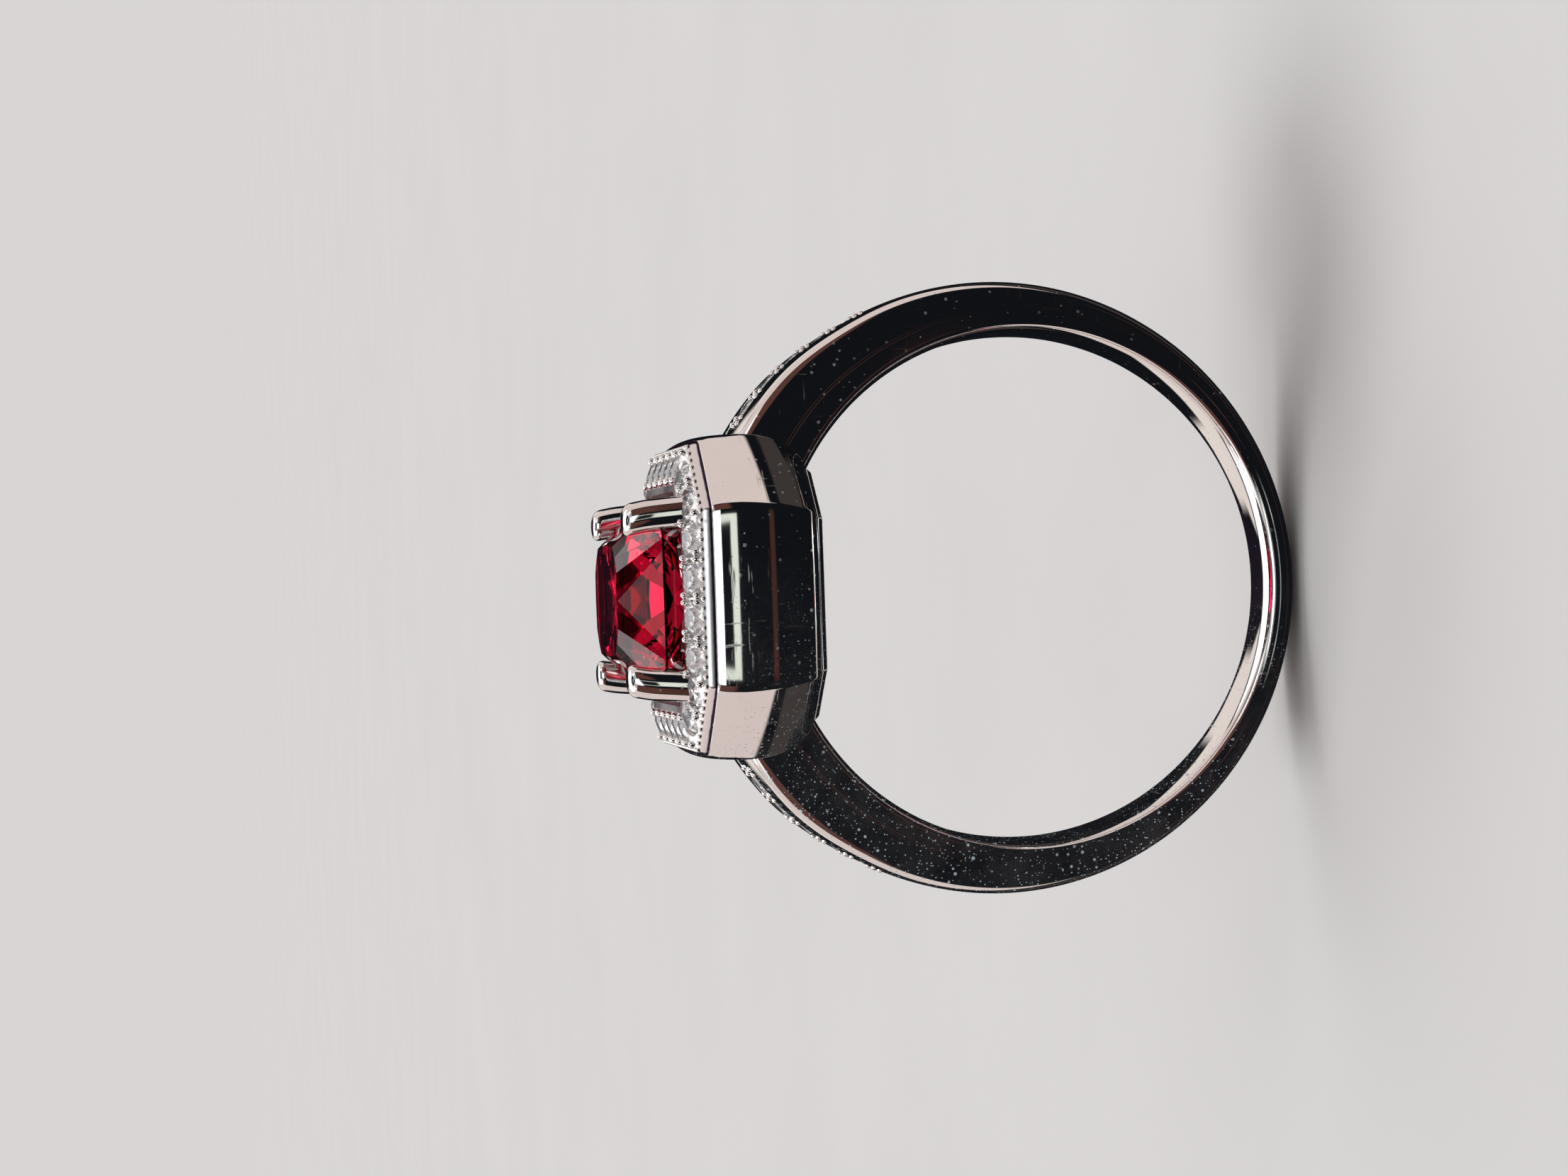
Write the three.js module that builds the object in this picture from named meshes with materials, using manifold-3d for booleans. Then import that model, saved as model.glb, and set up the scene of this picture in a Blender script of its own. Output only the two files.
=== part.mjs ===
// A cocktail ring: a tapered band with stone-set shoulders carries a deep eight-sided head, a domed
// halo of small stones and a four-claw basket that holds one large cut-corner stone.
// Millimetres, +Z up through the head, +Y along the finger, origin at the centre of the finger hole.

import * as THREE from "three";
import { ConvexGeometry } from "three/addons/geometries/ConvexGeometry.js";
import { mergeVertices } from "three/addons/utils/BufferGeometryUtils.js";
import Module from "manifold-3d";

const wasm = await Module();
wasm.setup();

// ---- Driving dimensions ----

const clearance = 0.04; // left between two pieces that meet

const finger = { radius: 8.65 }; // US size 7

const band = {
  reach: 0.22, // how far each arm runs in under the head's base
  steps: 64,
  headThickness: 2.65,
  baseThickness: 1.2,
  thicknessPower: 1.35,
  headWidth: 4.6,
  baseWidth: 2.2,
  edgeDrop: 0.28, // how far the outer edges lie below the middle
  edgeRound: 0.12,
  boreRound: 0.22,
  sideBelly: 0.06,
};

const shoulder = {
  fromArmEnd: 6.1, // degrees from the arm's end to the first stone
  span: 22.8, // degrees from the first stone to the last
  count: 5,
  firstDiameter: 1.0,
  lastDiameter: 0.86,
  channelMargin: 3.1, // degrees beyond the first and last stone
  channelDepth: 0.12,
  channelWiden: 0.34, // channel width beyond the stone's diameter
};

const gem = {
  halfWidth: 3.0, // across the finger, along X
  halfLength: 4.0, // along the finger, along Y
  cornerCut: 1.0,
  lift: 1.18, // girdle above the head's rim
  girdle: 0.16,
  crown: 1.3,
  pavilion: 2.85,
  tableWidthShare: 0.63, // of the girdle's half width
  tableLengthShare: 0.675,
};

const head = {
  borderX: 2.4, // from the gem's girdle out to the wall
  borderY: 2.0,
  cornerCut: 2.35,
  sink: 0.7, // base below the top of the finger hole
  depth: 3.65,
  straightDepth: 1.6, // the wall is upright this far down and then turns in
  baseInset: 1.05,
  rimWidth: 0.4,
  wall: 0.75,
  ledgeDrop: 0.6,
};
const headX = gem.halfWidth + head.borderX;
const headY = gem.halfLength + head.borderY;
const baseZ = finger.radius - head.sink;
const rimZ = baseZ + head.depth;
const straightZ = rimZ - head.straightDepth;
const girdleZ = rimZ + gem.lift;

// Where each arm ends, in degrees from the head's axis, and where its row of stones runs.
const armEnd = THREE.MathUtils.radToDeg(Math.asin((headX - head.baseInset - band.reach) / finger.radius));
const firstStone = armEnd + shoulder.fromArmEnd;
const lastStone = firstStone + shoulder.span;

const baseRail = { inset: 0.12, width: 1.5, thickness: 0.2 };

const halo = { width: 1.37, rise: 0.72 };
const haloRow = {
  inset: 1.02, // from the rim's outer edge to the stones' centre line
  alongLength: 5,
  alongWidth: 4,
  onCorner: 2,
  stoneShare: 0.83, // of the space each stone has
  cornerShare: 0.76,
  lean: 22, // degrees each stone faces outward
  sink: 0.05, // girdle below the dome's surface
};

const claw = { radius: 0.5, insetX: 0.28, insetY: 0.22, rise: 1.42, lean: 0.1, sides: 16 };
const clawX = gem.halfWidth - claw.insetX;
const clawY = gem.halfLength - claw.insetY;
const clawTopZ = girdleZ + claw.rise;
const rails = {
  width: 0.55,
  height: 0.4,
  seatDrop: 0.3,
  lowerRise: 1.25,
  cornerCut: 0.9,
  outset: 0.1,
};

// Colours, with roughness and metalness, for each finish.
const silver = new THREE.MeshStandardMaterial({ color: 0xd9d6d4, roughness: 0.12, metalness: 1 });
const ruby = new THREE.MeshStandardMaterial({ color: 0xb0081c, roughness: 0.02, metalness: 0 });
const zirconia = new THREE.MeshStandardMaterial({ color: 0xf2f4f4, roughness: 0.02, metalness: 0 });

// ---- Geometry helpers ----

// Rings of points joined into one closed surface. A closed loft's last ring joins its first, and an
// open one is capped.
function loft(rings, closed) {
  const count = rings[0].length;
  const positions = [];
  const put = (a, b, c) => positions.push(...a, ...b, ...c);
  const last = closed ? rings.length : rings.length - 1;
  for (let i = 0; i < last; i++) {
    const low = rings[i];
    const high = rings[(i + 1) % rings.length];
    for (let j = 0; j < count; j++) {
      const next = (j + 1) % count;
      put(low[j], low[next], high[next]);
      put(low[j], high[next], high[j]);
    }
  }
  if (!closed) {
    const first = rings[0];
    const end = rings[rings.length - 1];
    for (let j = 1; j < count - 1; j++) {
      put(first[0], first[j + 1], first[j]);
      put(end[0], end[j], end[j + 1]);
    }
  }
  return facingOut(positions);
}

// A geometry from loose triangles, turned round if they enclose a negative volume.
function facingOut(positions) {
  let volume = 0;
  for (let i = 0; i < positions.length; i += 9) {
    const [ax, ay, az, bx, by, bz, cx, cy, cz] = positions.slice(i, i + 9);
    volume += ax * (by * cz - bz * cy) + ay * (bz * cx - bx * cz) + az * (bx * cy - by * cx);
  }
  if (volume < 0) {
    for (let i = 0; i < positions.length; i += 9) {
      for (let k = 0; k < 3; k++) {
        [positions[i + 3 + k], positions[i + 6 + k]] = [positions[i + 6 + k], positions[i + 3 + k]];
      }
    }
  }
  const geometry = new THREE.BufferGeometry();
  geometry.setAttribute("position", new THREE.Float32BufferAttribute(positions, 3));
  return geometry;
}

function solidOf(geometry) {
  const bare = geometry.clone();
  bare.deleteAttribute("normal");
  bare.deleteAttribute("uv");
  const merged = mergeVertices(bare, 1e-4);
  const vertProperties = new Float32Array(merged.attributes.position.array);
  const triVerts = new Uint32Array(merged.index.array);
  return new wasm.Manifold(new wasm.Mesh({ numProp: 3, vertProperties, triVerts }));
}

function geometryOf(solid) {
  const mesh = solid.getMesh();
  const points = new Float32Array(mesh.numVert * 3);
  for (let i = 0; i < mesh.numVert; i++) {
    points.set(mesh.vertProperties.subarray(i * mesh.numProp, i * mesh.numProp + 3), i * 3);
  }
  const geometry = new THREE.BufferGeometry();
  geometry.setAttribute("position", new THREE.BufferAttribute(points, 3));
  geometry.setIndex(new THREE.BufferAttribute(new Uint32Array(mesh.triVerts), 1));
  geometry.computeVertexNormals();
  return geometry;
}

// A geometry with every tool cut out of it.
function cut(geometry, tools) {
  const body = tools.reduce((left, tool) => left.subtract(solidOf(tool)), solidOf(geometry));
  return geometryOf(body);
}

// A rectangle with its corners cut at 45 degrees, moved inward by an inset, at height z.
function octagon(halfX, halfY, cornerCut, inset, z) {
  const x = halfX - inset;
  const y = halfY - inset;
  const c = cornerCut - inset * (2 - Math.SQRT2);
  const plan = [
    [x, y - c], [x - c, y], [c - x, y], [-x, y - c],
    [-x, c - y], [c - x, -y], [x - c, -y], [x, c - y],
  ];
  return plan.map(([px, py]) => [px, py, z]);
}

const headRing = (inset, z) => octagon(headX, headY, head.cornerCut, inset, z);

// An eight-sided frame swept from a closed outline of [inset, z] pairs.
const frame = (outline) => loft(outline.map(([inset, z]) => headRing(inset, z)), true);

function add(name, geometry, material) {
  const mesh = new THREE.Mesh(geometry, material);
  mesh.name = name;
  ring.add(mesh);
  return mesh;
}

const ring = new THREE.Group();
const radians = THREE.MathUtils.degToRad;
const towardHead = (angle) => (1 + Math.cos(angle)) / 2; // 1 at the head, 0 opposite it

// ---- Head: wall, base rail and halo ----

// The wall's outer face, grown outward by a margin: upright from the rim, then most of a quarter of an
// ellipse in to the base.
function wallOutline(grow) {
  const points = [[-grow, rimZ]];
  const turns = 5;
  for (let i = 0; i <= turns; i++) {
    const end = 0.43 * Math.PI;
    const a = (i / turns) * end;
    const inset = head.baseInset * (1 - Math.cos(a)) / (1 - Math.cos(end));
    const drop = (straightZ - baseZ) * Math.sin(a) / Math.sin(end);
    points.push([inset - grow, straightZ - drop]);
  }
  return points;
}

function galleryWall() {
  const inner = [
    [head.baseInset + head.wall, baseZ],
    [head.wall + 0.35, straightZ - 0.8],
    [head.wall + 0.1, straightZ + 0.3],
    [head.wall + 0.1, rimZ - head.ledgeDrop],
    [head.rimWidth, rimZ - head.ledgeDrop],
    [head.rimWidth, rimZ],
  ];
  return frame([...wallOutline(0), ...inner]);
}

const railTop = baseZ - clearance;
const railBottom = railTop - baseRail.thickness;
const railOuter = head.baseInset + baseRail.inset;

function galleryRail() {
  const inner = railOuter + baseRail.width;
  return frame([[railOuter, railTop], [railOuter, railBottom], [inner, railBottom], [inner, railTop]]);
}

// The dome's surface, from its outer foot (share 0) to its inner crest (share 1), as [inset, z].
function domePoint(share) {
  const a = (share * Math.PI) / 2;
  const inset = head.rimWidth + clearance + halo.width * (1 - Math.cos(a));
  return [inset, rimZ + 0.02 + (halo.rise - 0.02) * Math.sin(a)];
}

// The height of the dome at an inset from the wall's outer face.
function domeAt(inset) {
  const across = 1 - (inset - head.rimWidth - clearance) / halo.width;
  return rimZ + 0.02 + (halo.rise - 0.02) * Math.sqrt(1 - across * across);
}

function haloDome() {
  const steps = 5;
  const top = Array.from({ length: steps + 1 }, (_, i) => domePoint(i / steps));
  const inner = domePoint(1)[0];
  const foot = rimZ - head.ledgeDrop + clearance;
  return frame([[head.rimWidth + clearance, foot], ...top, [inner, foot]]);
}

// ---- Small round stones, eight-sided single cuts ----

// A stone standing on Z with its girdle's lower edge at z 0, grown all round by a margin.
function roundStone(diameter, grow) {
  const r = diameter / 2 + grow;
  const profile = [
    new THREE.Vector2(0, -0.86 * r),
    new THREE.Vector2(r, 0),
    new THREE.Vector2(r, 0.06 * r + grow),
    new THREE.Vector2(0.58 * r, 0.32 * r + grow * 2),
    new THREE.Vector2(0, 0.32 * r + grow * 2),
  ];
  return new THREE.LatheGeometry(profile, 8).rotateX(Math.PI / 2);
}

// Places for the halo's stones, side by side round the head: a centre, the way it faces and a diameter.
function haloPlaces() {
  const places = [];
  const path = headRing(haloRow.inset, 0);
  const z = domeAt(haloRow.inset) - haloRow.sink;
  const lean = radians(haloRow.lean);
  const counts = [haloRow.onCorner, haloRow.alongWidth, haloRow.onCorner, haloRow.alongLength];
  for (let side = 0; side < 8; side++) {
    const from = new THREE.Vector3(...path[side]);
    const to = new THREE.Vector3(...path[(side + 1) % 8]);
    const along = to.clone().sub(from).normalize();
    const outward = new THREE.Vector3(along.y, -along.x, 0);
    const corner = side % 2 === 0;
    const count = counts[side % 4];
    const pitch = from.distanceTo(to) / count;
    const diameter = pitch * (corner ? haloRow.cornerShare : haloRow.stoneShare);
    for (let i = 0; i < count; i++) {
      const centre = from.clone().add(to).multiplyScalar(0.5);
      centre.addScaledVector(along, (i - (count - 1) / 2) * pitch);
      centre.z = z;
      const facing = outward.clone().multiplyScalar(Math.sin(lean));
      facing.z = Math.cos(lean);
      places.push({ centre, facing, diameter });
    }
  }
  return places;
}

function ridgeRadius(angle) {
  const share = towardHead(angle) ** band.thicknessPower;
  return finger.radius + band.baseThickness + (band.headThickness - band.baseThickness) * share;
}

const bandWidth = (angle) => band.baseWidth + (band.headWidth - band.baseWidth) * towardHead(angle);

// A point of the band at an angle from the head's axis, a radius and a distance along the finger.
const bandPoint = (angle, radius, y) => [radius * Math.sin(angle), y, radius * Math.cos(angle)];

// Places for one shoulder's row of stones, largest next to the head. Side is 1 for +X and -1 for -X.
function shoulderPlaces(side) {
  const places = [];
  for (let i = 0; i < shoulder.count; i++) {
    const share = i / (shoulder.count - 1);
    const angle = radians(firstStone + (lastStone - firstStone) * share) * side;
    const diameter = shoulder.firstDiameter + (shoulder.lastDiameter - shoulder.firstDiameter) * share;
    const radius = ridgeRadius(angle) - shoulder.channelDepth - 0.06;
    const centre = new THREE.Vector3(...bandPoint(angle, radius, 0));
    const facing = new THREE.Vector3(...bandPoint(angle, 1, 0));
    places.push({ centre, facing, diameter });
  }
  return places;
}

function placeStone(geometry, place) {
  const turn = new THREE.Quaternion().setFromUnitVectors(new THREE.Vector3(0, 0, 1), place.facing);
  const matrix = new THREE.Matrix4().compose(place.centre, turn, new THREE.Vector3(1, 1, 1));
  return geometry.applyMatrix4(matrix);
}

// The hole a stone sits in: the stone a little larger, and a well above it up past the surface.
const seatFor = (place) => placeStone(roundStone(place.diameter, clearance * 0.75), place);
const wellFor = (place) => {
  const well = new THREE.CylinderGeometry(place.diameter / 2, place.diameter / 2, 1, 8);
  return placeStone(well.rotateX(Math.PI / 2).rotateZ(Math.PI / 8).translate(0, 0, 0.5), place);
};

// ---- Band ----

// One cross-section: a flat bore with rounded edges, gently bellied sides and an outer face that
// rises to its middle.
function bandSection(angle) {
  const half = bandWidth(angle) / 2;
  const ridge = ridgeRadius(angle);
  const edge = ridge - band.edgeDrop;
  const middle = (finger.radius + edge) / 2;
  const flat = half * 0.42;
  const right = [
    [half - band.boreRound - band.sideBelly, finger.radius],
    [half - band.sideBelly, finger.radius + band.boreRound],
    [half, middle],
    [half - band.sideBelly / 2, edge - band.edgeRound],
    [half - band.sideBelly / 2 - band.edgeRound, edge],
    [flat, ridge],
  ];
  const left = right.map(([y, r]) => [-y, r]).reverse();
  return [...right, ...left].map(([y, r]) => bandPoint(angle, r, y));
}

function bandBlank() {
  const start = radians(armEnd);
  const span = 2 * Math.PI - 2 * start;
  const angles = Array.from({ length: band.steps + 1 }, (_, i) => start + (span * i) / band.steps);
  return loft(angles.map(bandSection), false);
}

// The shallow trough along one shoulder that its stones sit in.
function shoulderChannel(side) {
  const from = firstStone - shoulder.channelMargin;
  const to = lastStone + shoulder.channelMargin;
  const steps = 12;
  const rings = Array.from({ length: steps + 1 }, (_, i) => {
    const share = i / steps;
    const angle = radians(from + (to - from) * share) * side;
    const diameter = shoulder.firstDiameter + (shoulder.lastDiameter - shoulder.firstDiameter) * share;
    const half = (diameter + shoulder.channelWiden) / 2;
    const low = ridgeRadius(angle) - shoulder.channelDepth;
    const high = low + 1;
    const section = [[-half, low], [half, low], [half, high], [-half, high]];
    return section.map(([y, r]) => bandPoint(angle, r, y));
  });
  return loft(rings, false);
}

// The space the head takes, a clearance larger than the wall and the rail under it.
function headSpace() {
  const margin = clearance * 1.5;
  const wall = wallOutline(margin);
  const outline = [
    [-margin, rimZ + 1],
    ...wall.slice(1, -1),
    [head.baseInset - margin, baseZ - clearance],
    [railOuter - margin, baseZ - margin],
    [railOuter - margin, railBottom - clearance],
  ];
  return loft(outline.map(([inset, z]) => headRing(inset, z)), false);
}

// ---- Centre stone and its basket ----

// A cut-corner brilliant: the convex body on its table, crown, girdle, belt and keel corners.
function centreStone(grow) {
  const top = girdleZ + gem.girdle;
  const starZ = top + gem.crown * 0.78;
  const tier = (shareX, shareY, cornerShare, z, bulge) => {
    const x = gem.halfWidth * shareX + grow;
    const y = gem.halfLength * shareY + grow;
    const corner = gem.cornerCut * cornerShare;
    const middle = [[x + bulge, 0, z], [0, y + bulge, z], [-x - bulge, 0, z], [0, -y - bulge, z]];
    return [...octagon(x, y, corner, 0, z), ...(bulge > 0 ? middle : [])];
  };
  const corners = [
    ...tier(gem.tableWidthShare, gem.tableLengthShare, 0.5, top + gem.crown + grow, 0),
    ...tier(gem.tableWidthShare + 0.1, gem.tableLengthShare + 0.08, 0.6, starZ + grow, 0.09),
    ...tier(1, 1, 1, top + grow, 0),
    ...tier(1, 1, 1, girdleZ - grow, 0),
    ...tier(0.7, 0.74, 0.65, girdleZ - gem.pavilion * 0.42 - grow, 0.16),
    [0, gem.halfLength * 0.18, girdleZ - gem.pavilion - grow],
    [0, -gem.halfLength * 0.18, girdleZ - gem.pavilion - grow],
  ];
  return new ConvexGeometry(corners.map((corner) => new THREE.Vector3(...corner)));
}

// A claw: a round wire that leans in a little and ends in a rounded tip.
function clawWire(sideX, sideY, grow) {
  const foot = baseZ + rails.lowerRise - 0.15;
  const stations = [
    [foot, 1, 0],
    [rimZ, 1, 0],
    [clawTopZ - 0.42, 1.04, 0.7],
    [clawTopZ - 0.14, 0.9, 1],
    [clawTopZ, 0.55, 1],
  ];
  const rings = stations.map(([z, swell, lean]) =>
    Array.from({ length: claw.sides }, (_, i) => {
      const a = (2 * Math.PI * i) / claw.sides;
      const r = claw.radius * swell + grow;
      const x = clawX - claw.lean * lean;
      const y = clawY - claw.lean * lean;
      return [sideX * x + r * Math.cos(a), sideY * y + r * Math.sin(a), z];
    }),
  );
  return loft(rings, false);
}

const corners = [
  ["front_right", 1, -1],
  ["front_left", -1, -1],
  ["back_right", 1, 1],
  ["back_left", -1, 1],
];
const clawTools = () => corners.map(([, x, y]) => clawWire(x, y, clearance));

function basketRail(z) {
  const halfX = clawX + rails.outset;
  const halfY = clawY + rails.outset;
  const at = (inset, height) => octagon(halfX, halfY, rails.cornerCut, inset, height);
  const outline = [[0, z], [rails.width, z], [rails.width, z + rails.height], [0, z + rails.height]];
  return loft(outline.map(([inset, height]) => at(inset, height)), true);
}

// ---- Assembly ----

const halos = haloPlaces();
const shoulders = { right: shoulderPlaces(1), left: shoulderPlaces(-1) };
const shoulderAll = [...shoulders.right, ...shoulders.left];

const bandTools = [
  headSpace(),
  shoulderChannel(1),
  shoulderChannel(-1),
  ...shoulderAll.map(seatFor),
];
add("shank", cut(bandBlank(), bandTools), silver);
add("gallery_wall", galleryWall(), silver);
add("gallery_base_rail", galleryRail(), silver);
const haloTools = [...halos.map(seatFor), ...halos.map(wellFor), ...clawTools()];
add("halo_frame", cut(haloDome(), haloTools), silver);
const seatTools = [centreStone(clearance), ...clawTools()];
add("basket_seat_rail", cut(basketRail(rimZ - rails.seatDrop), seatTools), silver);
add("basket_lower_rail", cut(basketRail(baseZ + rails.lowerRise), clawTools()), silver);
for (const [name, x, y] of corners) {
  add("claw_" + name, cut(clawWire(x, y, 0), [centreStone(clearance)]), silver);
}
add("centre_stone", centreStone(0), ruby);
halos.forEach((place, i) => {
  const name = "halo_stone_" + String(i + 1).padStart(2, "0");
  add(name, placeStone(roundStone(place.diameter, 0), place), zirconia);
});
for (const [side, places] of Object.entries(shoulders)) {
  places.forEach((place, i) => {
    const name = "shoulder_stone_" + side + "_" + (i + 1);
    add(name, placeStone(roundStone(place.diameter, 0), place), zirconia);
  });
}

export default ring;
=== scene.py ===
# Cocktail ring: polished silver band and head, domed stone halo, four claws and a red cut-corner centre stone.
# Shapes are worked out in millimetres and stored in metres. +Z is up through the head, +Y along the finger.
import math

import bpy
import numpy as np
from mathutils import Matrix, Vector


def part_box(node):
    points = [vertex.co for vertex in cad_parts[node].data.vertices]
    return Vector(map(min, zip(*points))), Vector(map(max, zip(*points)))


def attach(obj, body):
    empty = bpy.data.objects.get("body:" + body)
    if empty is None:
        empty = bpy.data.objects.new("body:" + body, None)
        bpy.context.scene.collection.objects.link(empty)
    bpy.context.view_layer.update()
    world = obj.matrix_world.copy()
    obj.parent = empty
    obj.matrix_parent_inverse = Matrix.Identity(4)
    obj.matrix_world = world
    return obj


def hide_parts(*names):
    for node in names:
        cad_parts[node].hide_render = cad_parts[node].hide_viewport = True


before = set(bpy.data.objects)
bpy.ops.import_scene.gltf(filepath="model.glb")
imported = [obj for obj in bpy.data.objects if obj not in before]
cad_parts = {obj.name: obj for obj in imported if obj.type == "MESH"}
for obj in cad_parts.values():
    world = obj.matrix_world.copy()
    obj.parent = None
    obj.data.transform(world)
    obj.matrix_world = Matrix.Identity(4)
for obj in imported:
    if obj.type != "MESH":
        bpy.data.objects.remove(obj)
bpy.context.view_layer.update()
metre = 0.001  # one millimetre
print("frame loaded")

# What the pieces share.

ringSizes = {
    "boreRadius": 8.65,
    "headX": 5.33,
    "headY": 5.88,
    "cornerCut": 2.35,
    "rimZ": 11.6,
    "baseZ": 7.95,
    "armEnd": 28.4,  # degrees from +Z to the end of each arm, inside the head
}

viewpoint = {
    "distance": 100.66,  # millimetres from the target
    "elevation": 11.15,  # degrees, as the next two
    "azimuth": 0.09,
    "roll": -1.97,
    "target": (0.234, 0.0, 8.163),
    "lens": 68.37,
}


# Puts an object for a mesh, a camera or a lamp into the scene.
def addObject(name, data):
    item = bpy.data.objects.new(name, data)
    bpy.context.scene.collection.objects.link(item)
    return item


# Looks at the target from an azimuth and an elevation, turned a quarter turn so that the head points left.
def addCamera():
    el, az, roll = (math.radians(viewpoint[k]) for k in ("elevation", "azimuth", "roll"))
    back = np.array([math.sin(az) * math.cos(el), -math.cos(az) * math.cos(el), math.sin(el)])
    side = np.cross(-back, (0, 0, 1))
    side /= np.linalg.norm(side)
    lift = np.cross(side, -back)
    right = -math.cos(roll) * lift + math.sin(roll) * side
    up = math.sin(roll) * lift + math.cos(roll) * side
    data = bpy.data.cameras.new("camera")
    data.lens = viewpoint["lens"]
    data.sensor_width = 36
    data.clip_start, data.clip_end = 0.005, 20
    item = addObject("camera", data)
    spot = np.array(viewpoint["target"]) + back * viewpoint["distance"]
    turn = Matrix(np.stack([right, up, back], 1).tolist())
    item.matrix_world = Matrix.Translation(Vector((spot * metre).tolist())) @ turn.to_4x4()
    bpy.context.scene.camera = item


addCamera()
print("camera placed")

# Meshes from arrays.


# Points in millimetres and groups of faces, each group an array of one face size, become one closed object.
# Faces that enclose a negative volume are turned round.
def meshObject(name, points, faceGroups, sharpAngle=32):
    points = np.asarray(points, float).reshape(-1, 3)
    volume = 0.0
    for group in faceGroups:
        for k in range(1, group.shape[1] - 1):
            a, b, c = points[group[:, 0]], points[group[:, k]], points[group[:, k + 1]]
            volume += np.einsum("ij,ij->", a, np.cross(b, c))
    if volume < 0:
        faceGroups = [group[:, ::-1] for group in faceGroups]
    totals = np.concatenate([np.full(len(group), group.shape[1]) for group in faceGroups])
    corners = np.concatenate([group.ravel() for group in faceGroups])
    mesh = bpy.data.meshes.new(name)
    mesh.vertices.add(len(points))
    mesh.vertices.foreach_set("co", (points * metre).ravel())
    mesh.loops.add(len(corners))
    mesh.loops.foreach_set("vertex_index", corners.astype(np.int32))
    mesh.polygons.add(len(totals))
    mesh.polygons.foreach_set("loop_start", (np.cumsum(totals) - totals).astype(np.int32))
    mesh.update(calc_edges=True)
    mesh.validate()
    mesh.shade_smooth()
    mesh.set_sharp_from_angle(angle=math.radians(sharpAngle))
    return addObject(name, mesh)


# The four-sided faces of a grid of rows by columns, each direction closed on itself or open.
def gridFaces(rows, columns, wrapRows, wrapColumns, start=0):
    index = np.arange(rows * columns).reshape(rows, columns) + start
    down = np.roll(index, -1, 0) if wrapRows else index[1:]
    here = index if wrapRows else index[:-1]
    quads = np.stack([here, np.roll(here, -1, 1), np.roll(down, -1, 1), down], -1)
    return (quads if wrapColumns else quads[:, :-1]).reshape(-1, 4)


# A tube of closed rows, open along its length, with a flat face at each end.
def cappedTube(name, grid, sharpAngle=32):
    rows, columns = grid.shape[:2]
    sides = gridFaces(rows, columns, False, True)
    ends = np.stack([np.arange(columns)[::-1], np.arange(columns) + (rows - 1) * columns])
    return meshObject(name, grid, [sides, ends], sharpAngle)


# Puts a piece on the root body in place of its CAD nodes, with its slot and material.
def settle(item, nodes, material):
    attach(item, "root")
    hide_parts(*nodes)
    item.data.materials.append(material)


# The eight-sided plan.

sideAngles = np.radians(np.arange(8) * 45.0)
sideNormals = np.stack([np.cos(sideAngles), np.sin(sideAngles)], 1)
sideTangents = np.stack([-np.sin(sideAngles), np.cos(sideAngles)], 1)


# How far each of the eight sides lies from the middle of a plan of half sizes x and y with its corners cut.
def sideReach(halfX, halfY, cornerCut):
    slant = (halfX + halfY - cornerCut) / math.sqrt(2)
    return np.array([halfX, slant, halfY, slant] * 2)


# Closed rows round the plan, one for each inset: at each corner an arc of the given rounding between the two
# sides moved inward by the inset, and between arcs evenly spaced points on the side. A bowed side swells as a
# parabola that leaves each arc at the side's bow angle.
def planRows(reach, insets, rounding, arcSteps, straightSteps, bow=(0.0, 0.0)):
    insets = np.atleast_1d(np.asarray(insets, float))
    rounding = np.broadcast_to(np.asarray(rounding, float), insets.shape)
    bow = np.radians(np.tile(bow, 4))
    h = reach[None, :] - insets[:, None] - rounding[:, None]
    nextH = np.roll(h, -1, 1)
    across = (nextH - h * math.cos(math.pi / 4)) / math.sin(math.pi / 4)
    centre = h[..., None] * sideNormals + across[..., None] * sideTangents
    start, end = sideAngles + bow, sideAngles + math.pi / 4 - np.roll(bow, -1)
    turn = start[:, None] + (end - start)[:, None] * np.linspace(0, 1, arcSteps)[None, :]
    arc = np.stack([np.cos(turn), np.sin(turn)], -1)
    arcs = centre[:, :, None, :] + rounding[:, None, None, None] * arc[None]
    share = (np.arange(straightSteps) + 1)[:, None] / (straightSteps + 1)
    leave, arrive = arcs[:, :, -1:, :], np.roll(arcs[:, :, :1, :], -1, 1)
    length = np.linalg.norm(arrive - leave, axis=-1, keepdims=True)
    swell = (np.tan(np.roll(bow, -1))[:, None] * share[:, 0] * (1 - share[:, 0]))[None, :, :, None] * length
    straights = leave * (1 - share) + arrive * share + swell * np.roll(sideNormals, -1, 0)[None, :, None, :]
    return np.concatenate([arcs, straights], 2).reshape(len(insets), -1, 2)


headReach = sideReach(ringSizes["headX"], ringSizes["headY"], ringSizes["cornerCut"])


# The eight corners of a plan moved inward by an inset.
def planCorners(reach, inset=0.0):
    return planRows(reach, inset, 0.0, 1, 0)[0]


# The start and end of each of the head's eight sides, moved inward by an inset.
def headSides(inset):
    corner = planCorners(headReach, inset)
    return zip(np.roll(corner, 1, 0), corner)


# Points at shares of the straight from start to end, all at height z.
def onSide(start, end, shares, z):
    return np.concatenate([start * (1 - shares) + end * shares, np.full((len(shares), 1), z)], 1)


# A closed outline of [inset, z] points carried round a plan.
def sweepPlan(reach, outline, rounding, arcSteps=7, straightSteps=12, bow=(0.0, 0.0)):
    plan = planRows(reach, outline[:, 0], rounding, arcSteps, straightSteps, bow)
    z = np.broadcast_to(outline[:, 1][:, None], plan.shape[:2])
    return np.concatenate([plan, z[..., None]], -1)


# A swept grid closed both ways into a ring.
def ringObject(name, grid, sharpAngle=32):
    return meshObject(name, grid, [gridFaces(*grid.shape[:2], True, True)], sharpAngle)


# Equally spaced angles round a circle, turned by a share of one step.
def circleTurns(count, turn=0.0):
    return (np.arange(count) + turn) / count * 2 * math.pi


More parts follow.
